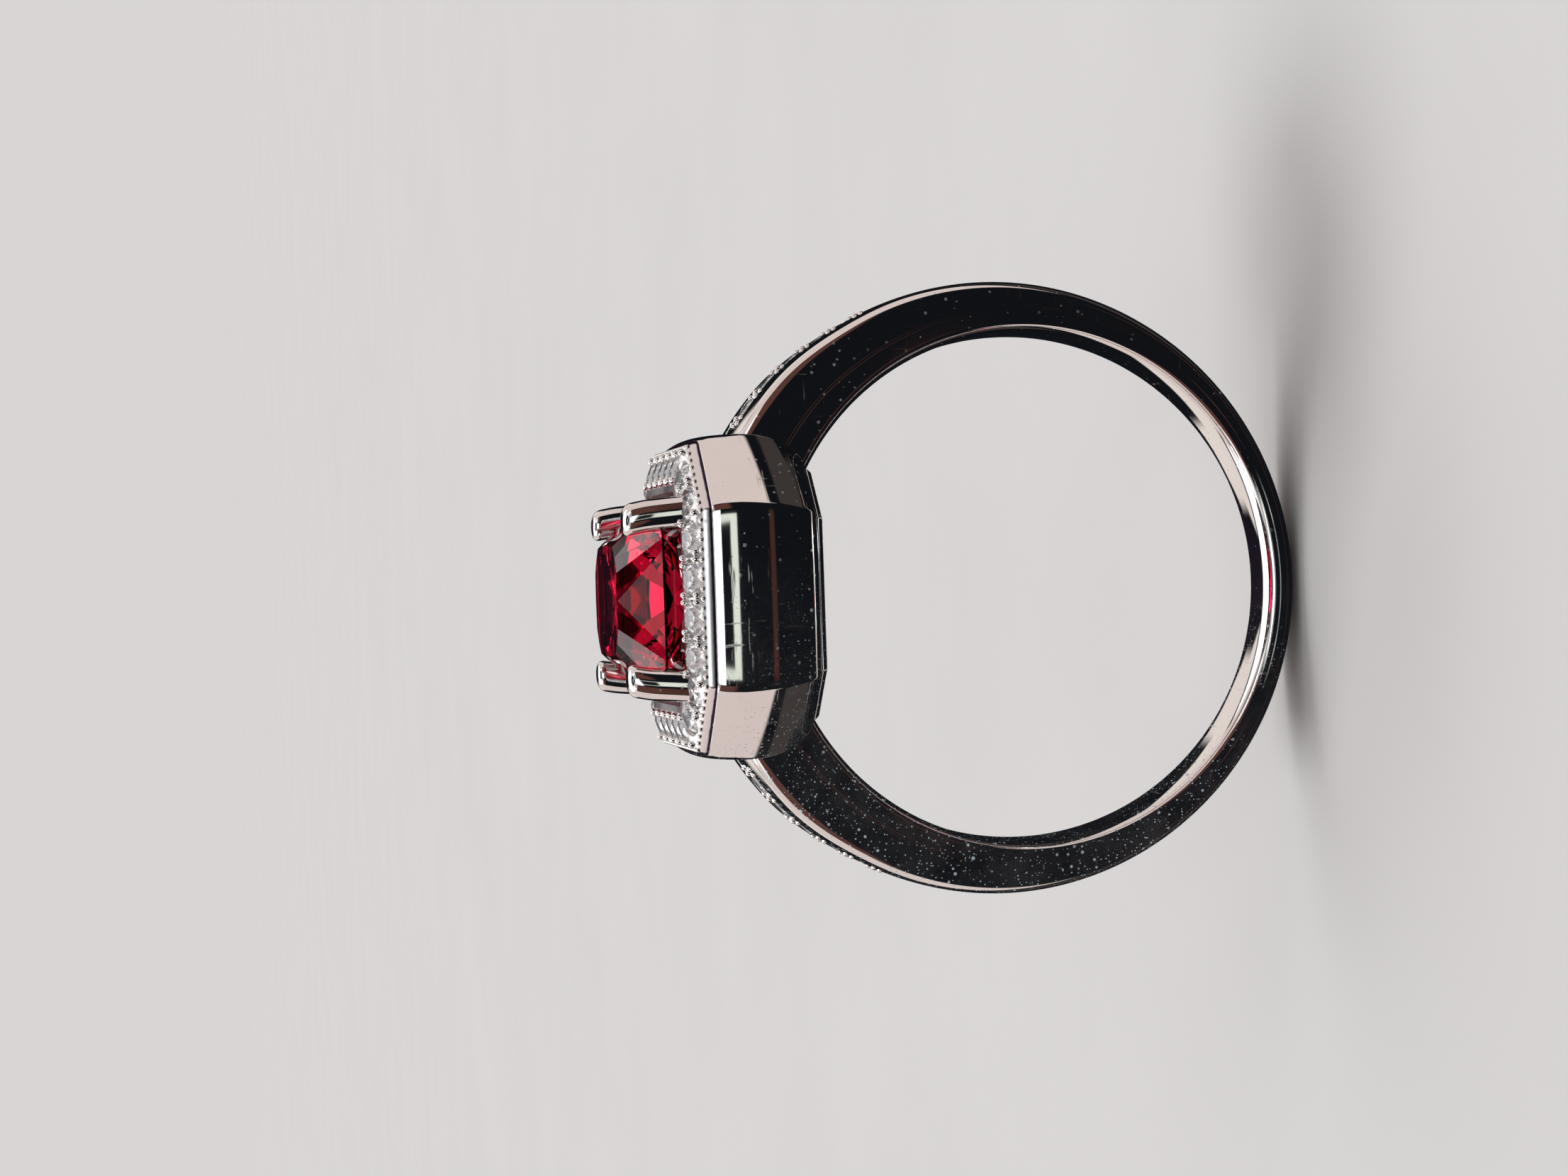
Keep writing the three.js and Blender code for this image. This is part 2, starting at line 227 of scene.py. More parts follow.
# Points along a straight from a to b, without b.
def run(a, b, steps):
    share = np.linspace(0, 1, steps, endpoint=False)[:, None]
    return np.array(a, float) * (1 - share) + np.array(b, float) * share


# Points round a circle about a centre from one angle to another in degrees, without the last.
def bend(centre, radius, start, end, steps):
    turn = np.radians(np.linspace(start, end, steps, endpoint=False))
    return np.array(centre) + radius * np.stack([np.cos(turn), np.sin(turn)], 1)


# Node groups that several finishes use.

effectValues = {
    # hairlines: how each set is turned in degrees and how many cells it has per metre each way
    "lines": (((0, 8, 62), (9000, 500, 700)), ((0, -20, 15), (700, 500, 11000))),
    "lineCut": (0.66, 0.74),
    "linePatches": (420.0, 0.42, 0.66),  # scale of a noise and the part of it that shows, as the other patches
    "speckSize": 0.28,
    "speckEdge": 0.05,
    "dustPatches": (260.0, 0.37, 0.56),
    "dustSide": (0.0015, -0.0065),  # x in metres from clean to dusty
    "coarseShare": (0.25, 0.6),  # coarse dust on the clean side, and what the dusty side adds
    # painted seam shade: how noise breaks it up, and where it fades out
    "seamShadeBreak": (2500.0, 0.5),  # scale and amount
    "seamShadeCut": (1.25, 0.85),
}


# Gives a socket a link, a number, or a vector or colour of three numbers.
def feed(socket, value):
    if isinstance(value, bpy.types.NodeSocket):
        socket.id_data.links.new(value, socket)
    elif isinstance(value, tuple):
        socket.default_value = (*value, 1.0)[:len(socket.default_value)]
    else:
        socket.default_value = value


# Adds a shader node of a kind to a tree, with values for its sockets and its settings.
def place(tree, kind, sockets=None, **settings):
    node = tree.nodes.new("ShaderNode" + kind)
    for key, value in settings.items():
        setattr(node, key, value)
    for key, value in (sockets or {}).items():
        feed(node.inputs[key], value)
    return node


# A Math node on one to three values or sockets.
def maths(tree, operation, *values, clamp=False):
    return place(tree, "Math", dict(enumerate(values)), operation=operation, use_clamp=clamp).outputs[0]


# Values or sockets multiplied together.
def times(tree, first, *others):
    for other in others:
        first = maths(tree, "MULTIPLY", first, other)
    return first


# The grey value of a noise at a scale in cells per metre.
def noise(tree, vector, scale, detail=3.0, roughness=0.6):
    sockets = {"Vector": vector, "Scale": scale, "Detail": detail, "Roughness": roughness}
    return place(tree, "TexNoise", sockets).outputs["Fac"]


# Coordinates that stay with the piece.
def objectCoords(tree):
    return place(tree, "TexCoord").outputs["Object"]


# The x, y and z of a vector.
def axes(tree, vector):
    return place(tree, "SeparateXYZ", {0: vector}).outputs


# A value stretched from low..high to 0..1.
def ramp(tree, value, low, high):
    return place(tree, "MapRange", {"Value": value, "From Min": low, "From Max": high}).outputs["Result"]


# Cloudy patches: a noise at a scale, stretched from low..high to 0..1.
def patches(tree, coords, scale, low, high):
    return ramp(tree, noise(tree, coords, scale, 2.0), low, high)


# A share of colour b over colour a.
def mixColour(tree, share, a, b):
    return place(tree, "Mix", {0: share, 6: a, 7: b}, data_type="RGBA").outputs[2]


# A shader node group with named number sockets, and its input and output sockets.
def newGroup(name, inputs, outputs):
    tree = bpy.data.node_groups.new(name, "ShaderNodeTree")
    for label, value in inputs.items():
        tree.interface.new_socket(label, in_out="INPUT", socket_type="NodeSocketFloat").default_value = value
    for label in outputs:
        tree.interface.new_socket(label, in_out="OUTPUT", socket_type="NodeSocketFloat")
    return tree, tree.nodes.new("NodeGroupInput").outputs, tree.nodes.new("NodeGroupOutput").inputs


# Hairline polishing marks: noise drawn out long in two directions and cut to thin lines, in patches.
def hairlineGroup():
    v = effectValues
    tree, inside, outside = newGroup("hairlines", {"Amount": 0.5}, ["Mask", "Height"])
    coords = objectCoords(tree)
    lines = []
    for turn, squeeze in v["lines"]:
        turned = {"Scale": squeeze, "Rotation": tuple(np.radians(turn)), "Vector": coords}
        grain = noise(tree, place(tree, "Mapping", turned).outputs["Vector"], 1.0, 2.0, 0.5)
        lines.append(ramp(tree, grain, *v["lineCut"]))
    shown = times(tree, maths(tree, "MAXIMUM", *lines), patches(tree, coords, *v["linePatches"]))
    mask = maths(tree, "MULTIPLY", shown, inside["Amount"], clamp=True)
    feed(outside["Mask"], mask)
    feed(outside["Height"], mask)
    return tree


# Dust: the small round cores of a cell pattern, thinned out where a broad noise is low.
def dustGroup():
    v = effectValues
    tree, inside, outside = newGroup("dustSpecks", {"Density": 0.5, "Scale": 2600.0}, ["Mask"])
    coords = objectCoords(tree)
    cells = place(tree, "TexVoronoi", {"Vector": coords, "Scale": inside["Scale"]}).outputs
    pick = place(tree, "SeparateColor", {"Color": cells["Color"]}).outputs
    size = times(tree, pick[0], v["speckSize"])
    core = ramp(tree, maths(tree, "SUBTRACT", size, cells["Distance"]), 0.0, v["speckEdge"])
    keep = maths(tree, "LESS_THAN", pick[1], inside["Density"])
    feed(outside["Mask"], times(tree, core, keep, patches(tree, coords, *v["dustPatches"])))
    return tree


# Slow unevenness of a hand-polished surface: a broad soft noise as a height and as a cloudiness.
def polishGroup():
    tree, inside, outside = newGroup("handPolish", {"Scale": 350.0}, ["Cloud", "Height"])
    broad = noise(tree, objectCoords(tree), inside["Scale"], 2.0, 0.5)
    feed(outside["Cloud"], ramp(tree, broad, 0.3, 0.7))
    feed(outside["Height"], broad)
    return tree


# Where dust lies: coarse specks everywhere, fine ones and a thin even bloom growing towards -X.
def layDustGroup():
    v = effectValues
    tree, inside, outside = newGroup("layDust", {"Coarse": 0.0, "Fine": 0.0, "Bloom": 0.02}, ["Mask"])
    coords = objectCoords(tree)
    side = ramp(tree, axes(tree, coords)[0], *v["dustSide"])
    cloud = ramp(tree, noise(tree, coords, 900.0), 0.3, 0.75)
    least, more = v["coarseShare"]
    coarse = times(tree, inside["Coarse"], maths(tree, "MULTIPLY_ADD", side, more, least))
    specks = maths(tree, "MAXIMUM", coarse, times(tree, inside["Fine"], side))
    feed(outside["Mask"], maths(tree, "MAXIMUM", specks, times(tree, side, cloud, inside["Bloom"])))
    return tree


# Painted shade: a narrow dark band in a seam between two heights, broken up by noise, standing in for the shade in
# the gap.
def seamShadeGroup():
    v = effectValues
    tree, inside, outside = newGroup("paintedSeamShade", {"Low": 0.0, "High": 1.0}, ["Mask"])
    coords = objectCoords(tree)
    above = maths(tree, "SUBTRACT", axes(tree, coords)[2], inside["Low"])
    share = maths(tree, "DIVIDE", above, maths(tree, "SUBTRACT", inside["High"], inside["Low"]))
    scale, amount = v["seamShadeBreak"]
    uneven = maths(tree, "MULTIPLY_ADD", noise(tree, coords, scale, 2.0), amount, -amount / 2)
    feed(outside["Mask"], ramp(tree, maths(tree, "ADD", share, uneven), *v["seamShadeCut"]))
    return tree


hairlines, dustSpecks, handPolish = hairlineGroup(), dustGroup(), polishGroup()
layDust, paintedSeamShade = layDustGroup(), seamShadeGroup()


# Places a group in a tree with its own values, and gives what comes out of it.
def useGroup(tree, group, **values):
    return place(tree, "Group", node_tree=group, sockets=values).outputs


# A material with its tree and the sockets of its Principled shader.
def newMaterial(name):
    material = bpy.data.materials.new(name)
    material.use_nodes = True
    return material, material.node_tree, material.node_tree.nodes["Principled BSDF"].inputs


silverValues = {
    "colour": (0.86, 0.845, 0.83),
    "shadeShare": 0.95,  # how dark the cloudy parts are
    "polishScale": 350.0,
    "dustColour": (0.42, 0.6, 0.7),
    # the dark colour of the painted shade in the halo's seam
    "seamShadeColour": (0.035, 0.02, 0.045),
    "fineDust": (1.8, 2.3),  # density and scale of the finer dust against the coarse
    "bloom": 0.065,
    "lineRoughness": 0.4,
    "dustRoughness": 0.5,
    "lineDepth": 0.0000012,  # metres, as the next
    "dustHeight": 0.000004,
}


# Polished silver: near-mirror metal whose colour and roughness drift slowly, with hairlines and two sizes of
# dust on top, the finer one and a faint bloom mostly on the -X side. The wave is the slow height in the polish.
def silverMaterial(name, roughness, scratchAmount, dustDensity, dustScale, wave, seam=None):
    v = silverValues
    material, tree, shader = newMaterial(name)
    lines = useGroup(tree, hairlines, Amount=scratchAmount)
    coarse = useGroup(tree, dustSpecks, Density=dustDensity, Scale=dustScale)["Mask"]
    denser, finer = v["fineDust"]
    fine = useGroup(tree, dustSpecks, Density=min(dustDensity * denser, 1.0), Scale=dustScale * finer)["Mask"]
    dust = useGroup(tree, layDust, Coarse=coarse, Fine=fine, Bloom=v["bloom"] * dustDensity)["Mask"]
    polish = useGroup(tree, handPolish, Scale=v["polishScale"])
    base = mixColour(tree, polish["Cloud"], v["colour"], tuple(c * v["shadeShare"] for c in v["colour"]))
    # A seam, when given, darkens the colour there with painted shade.
    if seam:
        paintedShade = useGroup(tree, paintedSeamShade, Low=seam[0] * metre, High=seam[1] * metre)["Mask"]
        base = mixColour(tree, paintedShade, base, v["seamShadeColour"])
    feed(shader["Base Color"], mixColour(tree, dust, base, v["dustColour"]))
    feed(shader["Metallic"], maths(tree, "SUBTRACT", 1.0, dust))
    rough = maths(tree, "MULTIPLY_ADD", polish["Cloud"], roughness * 0.5, roughness)
    marks = times(tree, lines["Mask"], v["lineRoughness"])
    specks = times(tree, dust, v["dustRoughness"])
    feed(shader["Roughness"], maths(tree, "ADD", rough, maths(tree, "ADD", marks, specks), clamp=True))
    scratch = times(tree, lines["Height"], -v["lineDepth"])
    raised = maths(tree, "ADD", scratch, times(tree, dust, v["dustHeight"]))
    height = maths(tree, "ADD", times(tree, polish["Height"], wave), raised)
    bump = place(tree, "Bump", {"Strength": 1.0, "Distance": 1.0, "Height": height})
    feed(shader["Normal"], bump.outputs["Normal"])
    return material


plainSilver = silverMaterial("polishedSilver", 0.035, 0.9, 0.55, 4200.0, 0.0000035)
settingSilver = silverMaterial("settingSilver", 0.06, 0.2, 0.12, 3600.0, 0.000002)
# the halo's seam with the wall rim gets painted shade
haloSilver = silverMaterial("haloSilver", 0.24, 0.2, 0.12, 3600.0, 0.000002, seam=(11.5, 11.585))

stoneValues = {
    # the colour and the deeper one, IOR, dust, clearness
    "ruby": ((0.6, 0.006, 0.038), (0.5, 0.003, 0.024), 1.77, 0.05, 1.0),
    "clear": ((0.98, 0.98, 0.99), (0.94, 0.95, 0.97), 2.0, 0.1, 0.9),
    "zones": (300.0, 0.35, 0.65),
    "dustScale": 3200.0,
    "dustRoughness": 0.35,
}


# Cut stone: clear coloured glass; the colour drifts slowly to a deeper one and dust lies on the facets. Clearness
# below 1 leaves a little white scatter.
def stoneMaterial(name, colour, deep, ior, dustDensity, clearness):
    v = stoneValues
    material, tree, shader = newMaterial(name)
    feed(shader["Transmission Weight"], clearness)
    feed(shader["IOR"], ior)
    dust = useGroup(tree, dustSpecks, Density=dustDensity, Scale=v["dustScale"])["Mask"]
    zone = patches(tree, objectCoords(tree), *v["zones"])
    feed(shader["Base Color"], mixColour(tree, zone, colour, deep))
    feed(shader["Roughness"], times(tree, dust, v["dustRoughness"]))
    return material


rubyMaterial = stoneMaterial("redStone", *stoneValues["ruby"])
clearMaterial = stoneMaterial("clearStone", *stoneValues["clear"])
print("finishes made")

# Head wall and base rail.

wallValues = {
    "rimDrop": 0.08,  # the wall's top edge, below the foot of the dome
    "slopes": ((0.03, 26), (0.09, 18), (0.28, 11), (0.46, 7), (0.8, 4.2), (1.2, 1), (1.35, 0)),  # depth, tilt up
    "upright": 0.03,  # inset where the wall is widest
    "turnDepth": 1.3,  # below the rim, where it starts to turn in
    "baseInset": 1.05,
    "rimWidth": 0.44,
    "rimRound": 0.04,
    "edgeRound": (0.5, 0.12),  # at the rim and lower down
    "edgeRoundDepth": (1.0, 1.8),  # below the rim, where the first ends and the second starts
    "turnShare": 0.9,  # of a quarter turn, in to the base
    "baseLip": 0.04,
    "thickness": 0.75,
    "inside": ((0.35, 2.4), (0.1, 1.3), (0.1, 0.6)),  # past the thickness and below the rim, going up
    "bow": (4.0, 5.0),  # degrees: how much the straight and the cut sides swell
}


# The wall's outline: a narrow flat rim, a face whose tilt eases from the first slope to upright, a
# quarter-ellipse in to the base, and the inside. The tilt is summed to give the inset.
def wallOutline():
    v = wallValues
    rim, base = ringSizes["rimZ"] - v["rimDrop"], ringSizes["baseZ"]
    depth = np.linspace(v["slopes"][0][0], v["turnDepth"], 46)
    tilt = np.interp(depth, *np.array(v["slopes"]).T)
    step = np.tan(np.radians(tilt)) * np.gradient(depth)
    face = np.stack([v["upright"] + np.cumsum(step[::-1])[::-1], rim - depth], 1)
    low = rim - v["turnDepth"]
    turn = np.linspace(0, math.pi / 2 * v["turnShare"], 30)[1:]
    inward = (1 - np.cos(turn)) / (1 - math.cos(turn[-1]))
    curve = np.stack([v["upright"] + (v["baseInset"] - v["upright"]) * inward,
                      low - (low - base - v["baseLip"]) * np.sin(turn) / math.sin(turn[-1])], 1)
    r, edge = v["rimRound"], face[0, 0]
    corners = [(v["baseInset"] + v["baseLip"], base), (v["baseInset"] + v["thickness"], base)]
    corners += [(v["thickness"] + past, rim - under) for past, under in v["inside"]]
    corners += [(v["rimWidth"], corners[-1][1]), (v["rimWidth"], rim)]
    return np.concatenate([
        run((v["rimWidth"], rim), (edge + r, rim), 3),
        bend((edge + r, rim - r), r, 90, 162, 5),
        face,
        curve,
        *(run(a, b, steps) for a, b, steps in zip(corners, corners[1:], (4, 6, 4, 3, 3, 4))),
    ])


wallProfile = wallOutline()
wallRounding = np.interp(ringSizes["rimZ"] - wallProfile[:, 1], wallValues["edgeRoundDepth"], wallValues["edgeRound"])
wallGrid = sweepPlan(headReach, wallProfile, wallRounding, 11, 24, wallValues["bow"])
settle(ringObject("galleryWall", wallGrid), ["gallery_wall"], plainSilver)

railValues = {
    "inset": 1.18, "width": 1.45, "top": 7.93, "bottom": 7.72, "round": 0.05, "slant": 0.12, "planRound": 0.14,
}


# A flat strap under the wall with its four edges rounded and its outer side slanting in.
def railOutline():
    v = railValues
    a, b, r = v["inset"], v["inset"] + v["width"], v["round"]
    corners = [(a + r + v["slant"], v["bottom"] + r, 210, 60), (b - r, v["bottom"] + r, 270, 90),
               (b - r, v["top"] - r, 0, 90), (a + r, v["top"] - r, 90, 120)]
    return np.concatenate([bend((x, z), r, start, start + turn, 4) for x, z, start, turn in corners])


settle(ringObject("galleryBaseRail", sweepPlan(headReach, railOutline(), railValues["planRound"])),
       ["gallery_base_rail"], plainSilver)
print("head wall made")

# Where the small stones sit.

haloValues = {
    "width": 1.51,
    "rise": 0.7,
    "foot": 0.30,  # inset of the dome's outer foot
    "rowInset": 1.02,
    "counts": (5, 2, 4, 2) * 2,  # stones on each of the eight sides, from +X round
    "stoneShare": 0.86,
    "cornerShare": 0.8,
    "lean": 22.0,
    "sink": 0.13,  # the girdle's depth below the dome
    "seat": 0.05,  # how much wider the seat is than the stone
    "skirt": (0.5, 11.1), "lipZ": 11.42, "undersideZ": 11.05,  # the parts let into the wall
    "planRound": 0.12,
}


# The dome's height at an inset: a quarter of an ellipse from the outer foot up to a level crest.
def domeHeight(inset):
    v = haloValues
    across = np.clip(1 - (inset - v["foot"]) / v["width"], 0, 1)
    return ringSizes["rimZ"] + v["rise"] * np.sqrt(1 - across * across)


# Evenly spaced places along each side of the row: centres, the way the stones face and their diameters.
def haloPlaces():
    v = haloValues
    level, lean = domeHeight(v["rowInset"]) - v["sink"], math.radians(v["lean"])
    centres, facings, sizes = [], [], []
    for side, (start, end) in enumerate(headSides(v["rowInset"])):
        count = v["counts"][side]
        pitch = np.linalg.norm(end - start) / count
        face = np.array([*(sideNormals[side] * math.sin(lean)), math.cos(lean)])
        centres.append(onSide(start, end, (np.arange(count) + 0.5)[:, None] / count, level))
        facings.append(np.tile(face, (count, 1)))
        sizes.append(np.full(count, pitch * (v["cornerShare"] if side % 2 else v["stoneShare"])))
    return np.concatenate(centres), np.concatenate(facings), np.concatenate(sizes)


seatValues = {"depth": 0.06, "slope": 0.62, "reachUp": 0.8}


# Sinks the surface wherever it stands above a stone's seat: a shallow cone under each stone, open to the top.
def sinkSeats(grid, centres, facings, sizes, margin):
    points = grid.reshape(-1, 3)
    for centre, facing, size in zip(centres, facings, sizes):
        offset = points - centre
        height = offset @ facing
        away = np.linalg.norm(offset - height[:, None] * facing, axis=1)
        reach = size / 2 + margin
        seat = -seatValues["depth"] - seatValues["slope"] * (reach - away)
        sink = (away < reach) & (height > seat) & (height < seatValues["reachUp"])
        points[sink] += (seat - height)[sink, None] * facing
    return points.reshape(grid.shape)


# Halo frame.


# The dome's outline with its inner wall, finely stepped over the top where the seats are cut.
def haloOutline():
    v = haloValues
    inner = v["foot"] + v["width"]
    turn = np.linspace(0, math.pi / 2, 34)
    inset = v["foot"] + v["width"] * (1 - np.cos(turn))
    top = np.stack([inset, domeHeight(inset)], 1)
    skirtInset, skirtZ = v["skirt"]
    return np.concatenate([
        run(v["skirt"], (v["foot"], v["lipZ"]), 2),
        run((v["foot"], v["lipZ"]), (v["foot"], ringSizes["rimZ"]), 4),
        top,
        run((inner + 0.03, top[-1, 1] - 0.05), (inner + 0.03, skirtZ), 6),
        run((inner, v["undersideZ"]), (skirtInset, v["undersideZ"]), 5),
    ])


haloCentres, haloFacings, haloSizes = haloPlaces()
haloGrid = sweepPlan(headReach, haloOutline(), haloValues["planRound"], 5, 84)
haloGrid = sinkSeats(haloGrid, haloCentres, haloFacings, haloSizes, haloValues["seat"])
settle(ringObject("haloFrame", haloGrid, 40), ["halo_frame"], haloSilver)

# Cut stones.

brilliantValues = {
    "table": 0.56, "tableHeight": 0.34,
    "star": 0.79, "starHeight": 0.21,
    "girdle": 0.05,
    "lower": 0.42, "lowerDepth": 0.52,
    "culet": 0.86,
}


# Facets from one array for each of their corners.
def facets(*corners):
    return np.stack(corners, 1)


# A ring of equally spaced points of a radius at a height, turned by a share of one step.
def circleRow(count, radius, height, turn=0.0):
    angle = circleTurns(count, turn)
    return np.stack([radius * np.cos(angle), radius * np.sin(angle), np.full(count, height)], 1)


# A round brilliant of radius 1: table, eight stars, eight kites, sixteen upper facets, girdle, sixteen lower
# facets and eight mains down to the culet.
def brilliant():
    v = brilliantValues
    rows = [
        circleRow(8, v["table"], v["tableHeight"]),
        circleRow(8, v["star"], v["starHeight"], 0.5),
        circleRow(16, 1.0, v["girdle"] / 2),
        circleRow(16, 1.0, -v["girdle"] / 2),
        circleRow(8, v["lower"], -v["lowerDepth"], 0.5),
        np.array([[0, 0, -v["culet"]]]),
    ]
    i = np.arange(8)
    j = (i + 1) % 8
    table, star, high, low, lower, culet = 0, 8, 16, 32, 48, 56
    k = np.arange(16)
    m = (k + 1) % 16
    triangles = [
        facets(table + i, star + i, table + j),
        facets(star + i, high + 2 * i, high + 2 * i + 1),
        facets(star + i, high + 2 * i + 1, high + (2 * i + 2) % 16),
        facets(low + 2 * i, lower + i, low + 2 * i + 1),
        facets(low + 2 * i + 1, lower + i, low + (2 * i + 2) % 16),
    ]
    quads = [
        facets(table + j, star + i, high + (2 * i + 2) % 16, star + j),
        facets(high + k, low + k, low + m, high + m),
        facets(lower + i, np.full(8, culet), lower + j, low + (2 * i + 2) % 16),
    ]
    return np.concatenate(rows), [np.concatenate(triangles), np.concatenate(quads), np.arange(8)[None, :]]


# A stone of a diameter set at a centre, its table facing along a direction.
def addStone(name, node, centre, facing, size):
    points, faces = brilliant()
    facing = facing / np.linalg.norm(facing)
    side = np.cross((0.0, 1.0, 0.0), facing)
    side /= np.linalg.norm(side)
    basis = np.stack([side, np.cross(facing, side), facing])
    placed = points * (size / 2) @ basis + centre
    settle(meshObject(name, placed, faces, 1), [node], clearMaterial)


# The CAD nodes whose names start with a word, in order.
def nodesNamed(start):
    return sorted(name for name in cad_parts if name.startswith(start))


# The place nearest to the middle of a CAD node's box.
def nearestPlace(node, centres):
    low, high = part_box(node)
    return int(np.argmin(np.linalg.norm(centres - np.array((low + high) / 2) / metre, axis=1)))


for node in nodesNamed("halo_stone"):
    near = nearestPlace(node, haloCentres)
    addStone("haloStone" + node[-2:], node, haloCentres[near], haloFacings[near], haloSizes[near])
print("halo made")

# Band.

bandValues = {
    "headThickness": 2.648, "baseThickness": 1.2, "thicknessPower": 1.35,
    "swell": 0.14, "swellEnd": 57.0, "swellLength": 18.0,  # extra height of the shoulders, in degrees along the arm
    "headWidth": 4.6, "baseWidth": 2.2,
    "arch": (0.07, 0.28),  # drop from the crown to its edge, at the shoulders and at the base
    "edgeRound": (0.42, 0.2), "boreRound": 0.3, "boreWidth": 0.8,
    "crease": 0.43, "creaseStep": 0.018, "creaseWidth": 0.05, "sideLean": 0.07,
    "channelDepth": 0.03, "grooveDepth": 0.1, "groove": 0.06, "channelEnd": 60.5, "channelMargin": 0.2,
    "channelClose": 3.0, "channelLeast": 0.12, "channelRise": 0.5,  # how it ends: degrees, half width, degrees
    "lowStart": 55.0, "lowLength": 70.0,  # degrees from the head over which the section turns into the base's
    "baseFade": 0.3,  # how much of the crease and the lean is left at the base
    "fineStep": 0.25, "coarseStep": 1.15, "fineEnd": 62.0,  # degrees between sections along the stones and below
}
shoulderValues = {
    "first": 34.5, "last": 57.3, "count": 5, "firstSize": 1.06, "lastSize": 0.88, "sink": 0.17, "seat": 0.05,
}


# 1 at the head and 0 at the base.
def towardHead(theta):
    return (1 + np.cos(theta)) / 2


# Eases a share in and out: 3s squared less 2s cubed.
def smooth(share):
    share = np.clip(share, 0, 1)
    return share * share * (3 - 2 * share)


# The angle from the head either way, 0 to 180.
def degreesFromHead(theta):
    return np.degrees(np.abs((theta + math.pi) % (2 * math.pi) - math.pi))


# Radius of the band's outer crown: bore, base thickness, a share that grows towards the head and the shoulders'
# own swell.
def crownRadius(theta):
    v = bandValues
    grow = (v["headThickness"] - v["baseThickness"]) * towardHead(theta) ** v["thicknessPower"]
    swell = v["swell"] * smooth((v["swellEnd"] - degreesFromHead(theta)) / v["swellLength"])
    return ringSizes["boreRadius"] + v["baseThickness"] + grow + swell


# Half the band's width, growing evenly with the height towards the head.
def bandHalfWidth(theta):
    v = bandValues
    return (v["baseWidth"] + (v["headWidth"] - v["baseWidth"]) * towardHead(theta)) / 2


# Diameter of a shoulder stone at a number of degrees from the head, shrinking evenly along the row.
def shoulderSize(degrees):
    v = shoulderValues
    share = np.clip((degrees - v["first"]) / (v["last"] - v["first"]), 0, 1)
    return v["firstSize"] + (v["lastSize"] - v["firstSize"]) * share


# Evenly spaced places along both shoulder rows: centres under the crown, the way the stones face and diameters.
def shoulderPlaces():
    v = shoulderValues
    degrees = np.linspace(v["first"], v["last"], v["count"])
    theta = np.radians(np.concatenate([degrees, -degrees]))
    facing = np.stack([np.sin(theta), np.zeros_like(theta), np.cos(theta)], 1)
    return facing * (crownRadius(theta) - v["sink"])[:, None], facing, np.tile(shoulderSize(degrees), 2)


# Half of the band's section at each angle, from the middle of the crown over the edge and down to the middle of
# the bore: a parabola crown with a shallow channel and a groove along its edge, a rounded edge, a flat side that
# steps in at the crease and leans in below it, a rounded bore edge and a flat bore. Gives y and radius.
def bandHalfSection(theta):
    v = bandValues
    t = degreesFromHead(theta)[:, None]
    bore = ringSizes["boreRadius"]
    crown, half = crownRadius(theta)[:, None], bandHalfWidth(theta)[:, None]
    low = smooth((t - v["lowStart"]) / v["lowLength"])
    drop = v["arch"][0] + (v["arch"][1] - v["arch"][0]) * low
    rounding = v["edgeRound"][0] + (v["edgeRound"][1] - v["edgeRound"][0]) * low
    edge, top = crown - drop, half - rounding
    close = np.clip((t - v["channelEnd"] + v["channelClose"]) / v["channelClose"], 0, 1)
    channel = np.maximum((shoulderSize(t) / 2 + v["channelMargin"]) * np.sqrt(1 - close**2), v["channelLeast"])
    sunk = np.clip((v["channelEnd"] - t) / v["channelRise"], 0, 1)
    depth, groove = v["channelDepth"] * sunk, v["grooveDepth"] * sunk

    def arch(y):
        return edge + drop * (1 - (y / top) ** 2)

    floorY = np.linspace(0, 1, 17)[None, :] * (channel - v["groove"])
    wallY = channel + np.array([[0.008 - v["groove"], -0.01, 0.0]])
    borderY = channel + (top - channel) * np.linspace(0, 1, 12)[None, 1:]
    turn = np.linspace(0, math.pi / 2, 15)[None, 1:]
    sideShare = np.linspace(1, 0, 40)[None, 1:]
    boreTurn = np.linspace(math.pi / 2, 0, 9)[None, 1:]
    lowR, highR = bore + v["boreRound"], edge - rounding
    step = v["creaseStep"] * smooth((v["crease"] - sideShare) / v["creaseWidth"])
    fade = v["baseFade"] + (1 - v["baseFade"]) * towardHead(theta)[:, None]
    lean = (step + v["sideLean"] * np.clip((v["crease"] - sideShare) / v["crease"], 0, 1)) * fade
    inner = (v["creaseStep"] + v["sideLean"]) * fade
    y = [floorY, wallY, borderY, top + rounding * np.sin(turn), half - lean,
         half - inner - v["boreWidth"] * (1 - np.sin(boreTurn)),
         (half - inner - v["boreWidth"]) * np.linspace(1, 0, 7)[None, 1:]]
    r = [arch(floorY) - depth, np.concatenate([arch(wallY[:, :2]) - groove, arch(wallY[:, 2:])], 1), arch(borderY),
         edge - rounding * (1 - np.cos(turn)), lowR + (highR - lowR) * sideShare,
         bore + v["boreRound"] * (1 - np.cos(boreTurn)), np.full((len(theta), 6), bore)]
    wide = [[np.broadcast_to(part, (len(theta), part.shape[1])) for part in parts] for parts in (y, r)]
    return np.concatenate(wide[0], 1), np.concatenate(wide[1], 1)


# The band: sections closed on both sides, set round the finger from one arm's end to the other's, with closer
# steps along the stone rows.
def bandGrid():
    v = bandValues
    fine = np.arange(ringSizes["armEnd"] - 1.5, v["fineEnd"], v["fineStep"])
    coarse = np.arange(v["fineEnd"] + 0.5, 180, v["coarseStep"])
    one = np.concatenate([fine, coarse])
    theta = np.radians(np.concatenate([one, [180], 360 - one[::-1]]))
    y, r = bandHalfSection(theta)
    y = np.concatenate([y, -y[:, -2:0:-1]], 1)
    r = np.concatenate([r, r[:, -2:0:-1]], 1)
    return np.stack([r * np.sin(theta)[:, None], y, r * np.cos(theta)[:, None]], -1)


